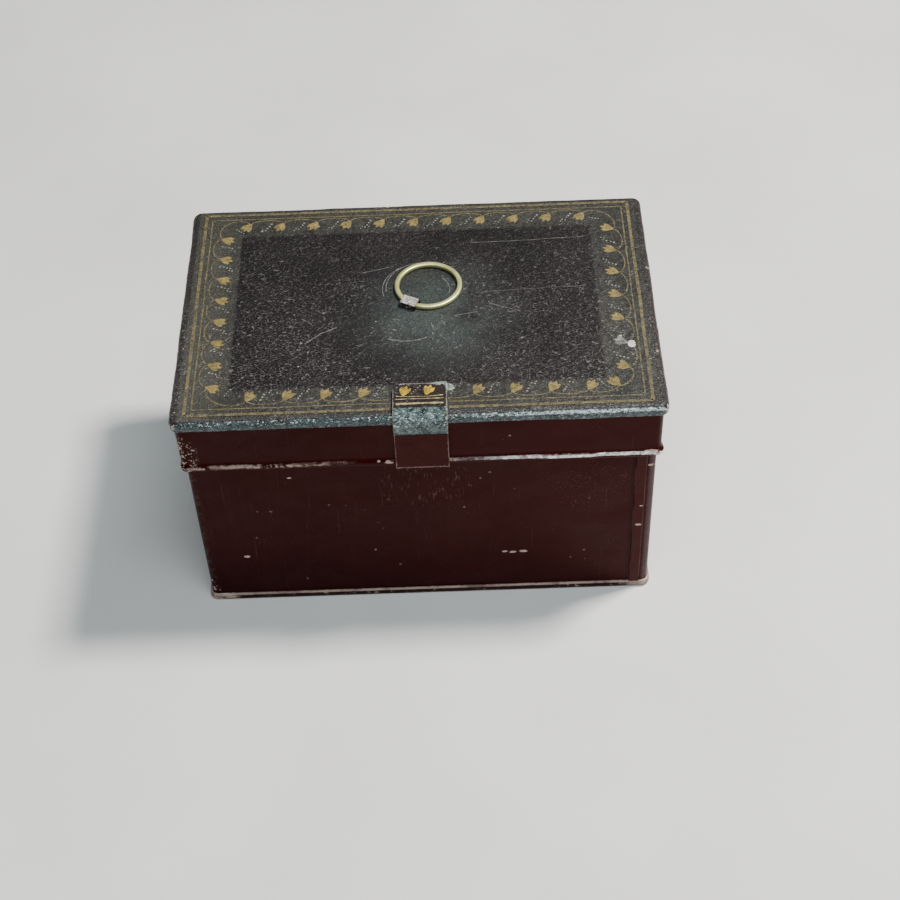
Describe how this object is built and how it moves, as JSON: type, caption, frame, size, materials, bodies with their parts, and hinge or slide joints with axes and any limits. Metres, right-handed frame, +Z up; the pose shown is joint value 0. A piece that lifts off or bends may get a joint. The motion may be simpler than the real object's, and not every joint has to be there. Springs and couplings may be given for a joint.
{
  "type": "wind up music box",
  "caption": "Wind-up cylinder music box in a dark japanned tin case with a hinged lid, gilt border, front strap and ring handle.",
  "frame": {"origin": "centre of the base, on the surface the box stands on", "axes": "+X to the right along the box's width seen from the front strap, +Y to the back (the hinge side), +Z up through the lid"},
  "size_m": [0.12, 0.0816, 0.072],
  "materials": {
    "lid_japan": "aged black-brown japan varnish, leather grained, semi gloss",
    "red_japan": "very dark oxblood japan varnish, worn to bright tin at edges",
    "black_japan": "dark japan varnish, worn",
    "solder": "dull tinned metal and soft solder, tarnished",
    "old_brass": "tarnished greenish brass",
    "brass": "lacquered aged brass",
    "steel": "turned and filed steel",
    "bright_steel": "ground and polished steel",
    "blued_steel": "heat blued steel",
    "cast_iron": "grey, dark painted casting"
  },
  "bodies": {
    "case": {"bottom_plate": "black_japan", "body_wrap": "red_japan", "case_screws": "steel", "bed_pillars": "brass", "hinge_leaf_case": "red_japan", "hinge_pin": "steel", "bedplate": "brass", "bed_screws": "steel", "barrel_cock": "brass", "click_screw": "blued_steel", "click_spring": "blued_steel", "cylinder_cocks": "brass", "comb": "bright_steel", "comb_base": "cast_iron", "comb_screws": "blued_steel", "governor_cock": "brass", "lever_screw": "blued_steel"},
    "lid": {"lid_top": "lid_japan", "lid_skirt": "red_japan", "hinge_leaf_lid": "red_japan", "front_strap": "lid_japan", "strap_solder": "solder", "ring_clip": "solder"},
    "ring": {"ring_handle": "old_brass"},
    "winder": {"winding_key": "old_brass", "barrel_arbor": "steel", "ratchet_wheel": "steel"},
    "click": {"click": "steel"},
    "barrel": {"barrel_drum": "brass", "barrel_cap": "brass", "mainspring": "blued_steel"},
    "cylinder": {"cylinder_tube": "brass", "cylinder_caps": "brass", "cylinder_arbor": "steel", "cylinder_pinion": "steel", "cylinder_pins": "bright_steel", "great_wheel": "brass"},
    "governor_arbor": {"governor_arbor": "steel", "governor_pinion": "steel", "worm_wheel": "brass"},
    "fly": {"worm_spindle": "steel", "fly": "brass"},
    "start_lever": {"start_lever": "brass"}
  },
  "joints": [
    {"name": "lid_hinge", "type": "hinge", "parent": "case", "child": "lid", "pos_m": [0, 0.0396, 0.0512], "axis": [-1, 0, 0], "range_deg": [0, 105]},
    {"name": "ring_flop", "type": "hinge", "parent": "lid", "child": "ring", "pos_m": [-0.00185, -0.0008, 0.0707], "axis": [0.809, -0.5878, 0], "range_deg": [0, 180]},
    {"name": "winding", "type": "hinge", "parent": "case", "child": "winder", "pos_m": [-0.035, 0.005, 0.02], "axis": [0, 0, -1], "continuous": true},
    {"name": "click_lift", "type": "hinge", "parent": "case", "child": "click", "pos_m": [-0.0434, -0.0025, 0.029], "axis": [0, 0, 1], "range_deg": [0, 8]},
    {"name": "start_stop", "type": "hinge", "parent": "case", "child": "start_lever", "pos_m": [0.043, 0.0185, 0.0316], "axis": [0, 0, -1], "range_deg": [0, 12]},
    {"name": "cylinder_turn", "type": "hinge", "parent": "case", "child": "cylinder", "pos_m": [0, 0.005, 0.026], "axis": [-1, 0, 0], "continuous": true},
    {"name": "barrel_turn", "type": "hinge", "parent": "case", "child": "barrel", "pos_m": [-0.035, 0.005, 0.015], "axis": [0, 0, -1], "continuous": true},
    {"name": "governor_turn", "type": "hinge", "parent": "case", "child": "governor_arbor", "pos_m": [0.035, 0.0201, 0.026], "axis": [1, 0, 0], "continuous": true},
    {"name": "fly_turn", "type": "hinge", "parent": "case", "child": "fly", "pos_m": [0.0382, 0.0278, 0.03], "axis": [0, 0, -1], "continuous": true}
  ],
  "couplings": [
    {"joint": "barrel_turn", "follows": "cylinder_turn", "ratio": 0.25},
    {"joint": "governor_turn", "follows": "cylinder_turn", "ratio": 5},
    {"joint": "fly_turn", "follows": "cylinder_turn", "ratio": 120}
  ]
}
